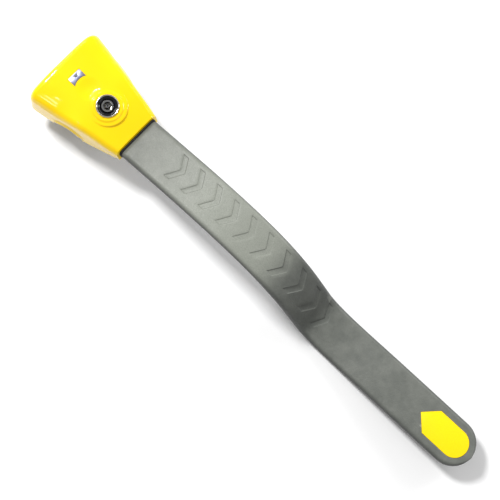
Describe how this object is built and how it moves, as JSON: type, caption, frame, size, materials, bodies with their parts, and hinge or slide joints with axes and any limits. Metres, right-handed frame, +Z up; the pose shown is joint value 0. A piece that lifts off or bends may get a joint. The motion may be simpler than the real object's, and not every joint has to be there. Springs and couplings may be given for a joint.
{
  "type": "steering wheel lock",
  "caption": "Clamp-on steering wheel lock: yellow key-locked head with a hinged rim jaw and a long grey arched bar with a rounded reflective tail.",
  "frame": {"origin": "middle of the whole length and width, on the surface the lock rests on with its jaw underside and the belly of the bar", "axes": "+X along the bar from the head towards the round tail, +Z up out of the face with the key lock, Y across the bar, parallel to the rim where the head holds it"},
  "size_m": [0.5991, 0.1014, 0.0902],
  "materials": {
    "yellow_shell": "moulded, high gloss",
    "grey_sleeve": "fine sparked texture",
    "cast_frame": "cast, dark phosphate",
    "steel": "zinc plated",
    "chrome": "polished",
    "black_rubber": "matt",
    "gloss_black": "polished",
    "badge_silver": "satin anodised, blank",
    "brass_pin": "turned",
    "reflector": "smooth, fine prisms below the surface"
  },
  "bodies": {
    "head": {"head_cover": "yellow_shell", "head_frame": "cast_frame", "saddle_pad": "black_rubber", "hinge_pin": "steel", "hinge_clip_left": "steel", "hinge_clip_right": "steel", "lock_barrel": "chrome", "dish_ring": "gloss_black", "barrel_nut": "steel", "bolt_plate": "cast_frame", "plate_screw_1": "steel", "plate_screw_2": "steel", "bar_core": "steel", "sleeve_upper": "grey_sleeve", "sleeve_lower": "grey_sleeve", "mouth_gasket": "black_rubber", "tail_reflector": "reflector", "badge_plate": "badge_silver", "badge_rivet": "steel", "bar_rivet_1": "steel", "bar_rivet_2": "steel", "cover_screw_1": "steel", "cover_screw_2": "steel", "cover_screw_3": "steel", "cover_screw_4": "steel", "sleeve_screw_1": "steel", "sleeve_screw_2": "steel", "sleeve_screw_3": "steel", "sleeve_screw_4": "steel", "sleeve_screw_5": "steel"},
    "jaw": {"lower_jaw": "steel", "jaw_pad": "black_rubber"},
    "plug": {"lock_plug": "chrome", "spiral_cam": "steel", "cam_screw": "steel"},
    "tumblers": {"tumbler_pin_1": "brass_pin", "tumbler_pin_2": "brass_pin", "tumbler_pin_3": "brass_pin", "tumbler_pin_4": "brass_pin", "tumbler_pin_5": "brass_pin", "tumbler_pin_6": "brass_pin", "tumbler_pin_7": "brass_pin"},
    "bolt": {"lock_bolt": "steel", "bolt_follower": "steel"}
  },
  "joints": [
    {"name": "jaw_hinge", "type": "hinge", "parent": "head", "child": "jaw", "pos_m": [-0.28525, 0, 0.02914], "axis": [0, 1, 0], "range_deg": [0, 70]},
    {"name": "key_turn", "type": "hinge", "parent": "head", "child": "plug", "pos_m": [-0.23025, 0, 0.05914], "axis": [0, 0, 1], "range_deg": [0, 90]},
    {"name": "bolt_slide", "type": "slide", "parent": "head", "child": "bolt", "axis": [-1, 0, 0], "range_m": [0, 0.0066]},
    {"name": "tumbler_press", "type": "slide", "parent": "plug", "child": "tumblers", "axis": [0, 0, -1], "range_m": [0, 0.0015], "stiffness_N_per_m": 200, "springref_m": -0.0005}
  ],
  "couplings": [
    {"joint": "bolt_slide", "follows": "key_turn", "m_per_rad": 0.004138}
  ]
}
